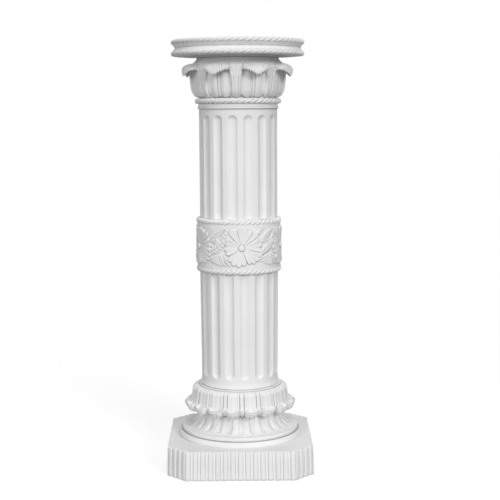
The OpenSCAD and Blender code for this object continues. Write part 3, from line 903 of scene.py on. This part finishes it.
CAMERA_PLACE = Vector((0.0, -2.7087, 0.8449))      # in metres
CAMERA_PITCH, CAMERA_YAW, CAMERA_ROLL = 7.06, 0.55, 0.34
AMBIENT = 0.27
FLOOR_GREY = 0.32
FLOOR_LIFT = 0.765
FLOOR_HALF = 30.0                                  # in metres


def camera():
    data = bpy.data.cameras.new("camera")
    data.lens = 82.9
    data.sensor_width = 36.0
    eye = bpy.data.objects.new("camera", data)
    yaw = Matrix.Rotation(math.radians(-CAMERA_YAW), 4, "Z")
    pitch = Matrix.Rotation(math.radians(90 - CAMERA_PITCH), 4, "X")
    roll = Matrix.Rotation(math.radians(-CAMERA_ROLL), 4, "Z")
    eye.matrix_world = Matrix.Translation(CAMERA_PLACE) @ yaw @ pitch @ roll
    bpy.context.scene.collection.objects.link(eye)
    bpy.context.scene.camera = eye


def seen_directly(nodes, links):
    """1 for camera, glossy and transmission rays, 0 for the rest."""
    paths = nodes.new("ShaderNodeLightPath")
    first = nodes.new("ShaderNodeMath")
    first.operation = "MAXIMUM"
    second = nodes.new("ShaderNodeMath")
    second.operation = "MAXIMUM"
    links.new(paths.outputs["Is Camera Ray"], first.inputs[0])
    links.new(paths.outputs["Is Glossy Ray"], first.inputs[1])
    links.new(first.outputs["Value"], second.inputs[0])
    links.new(paths.outputs["Is Transmission Ray"], second.inputs[1])
    return second.outputs["Value"]


def floor():
    """A plain floor that keeps the column's shadow, lifted to white where it is seen directly."""
    half = FLOOR_HALF
    corners = [(-half, -half, 0), (half, -half, 0), (half, half, 0), (-half, half, 0)]
    mesh = bpy.data.meshes.new("floor")
    mesh.from_pydata(corners, [], [(0, 1, 2, 3)])
    plane = bpy.data.objects.new("floor", mesh)
    bpy.context.scene.collection.objects.link(plane)
    material = bpy.data.materials.new("floor")
    material.use_nodes = True
    nodes = material.node_tree.nodes
    links = material.node_tree.links
    shader = nodes["Principled BSDF"]
    shader.inputs["Base Color"].default_value = (FLOOR_GREY, FLOOR_GREY, FLOOR_GREY, 1.0)
    shader.inputs["Roughness"].default_value = 0.9
    shader.inputs["Specular IOR Level"].default_value = 0.0
    shader.inputs["Emission Color"].default_value = (1.0, 1.0, 1.0, 1.0)
    lift = nodes.new("ShaderNodeMath")
    lift.operation = "MULTIPLY"
    lift.inputs[1].default_value = FLOOR_LIFT
    links.new(seen_directly(nodes, links), lift.inputs[0])
    links.new(lift.outputs["Value"], shader.inputs["Emission Strength"])
    mesh.materials.append(material)


def world():
    """Even light from all round, and plain white where it is seen directly."""
    sky = bpy.data.worlds.new("studio")
    bpy.context.scene.world = sky
    sky.use_nodes = True
    nodes = sky.node_tree.nodes
    links = sky.node_tree.links
    background = nodes["Background"]
    background.inputs["Color"].default_value = (1.0, 1.0, 1.0, 1.0)
    strength = nodes.new("ShaderNodeMapRange")
    strength.inputs["To Min"].default_value = AMBIENT
    strength.inputs["To Max"].default_value = 1.0
    links.new(seen_directly(nodes, links), strength.inputs["Value"])
    links.new(strength.outputs["Result"], background.inputs["Strength"])


def sun(name, azimuth, elevation, strength, softness):
    """A soft lamp. azimuth is where it stands, from the front and to the right, in degrees."""
    data = bpy.data.lights.new(name, "SUN")
    data.energy = strength
    data.angle = math.radians(softness)
    lamp = bpy.data.objects.new(name, data)
    a, e = math.radians(azimuth), math.radians(elevation)
    towards = Vector((math.sin(a) * math.cos(e), -math.cos(a) * math.cos(e), math.sin(e)))
    lamp.rotation_euler = towards.to_track_quat("Z", "Y").to_euler()
    bpy.context.scene.collection.objects.link(lamp)


def lights():
    sun("key", 30.0, 24.0, 1.33, 20.0)
    sun("high", 12.0, 60.0, 0.62, 24.0)
    sun("fill", -30.0, 16.0, 0.95, 28.0)
    sun("back", 172.0, 30.0, 0.62, 40.0)


# ------------------------------------------------------------------ the scene

camera()
world()
lights()
floor()
plinth()
foot()
leaf_skirt()
lower_shaft()
belt()
upper_shaft()
capital_leaves()
capital_rope()
top_slab()

bpy.context.scene.view_settings.view_transform = "Standard"
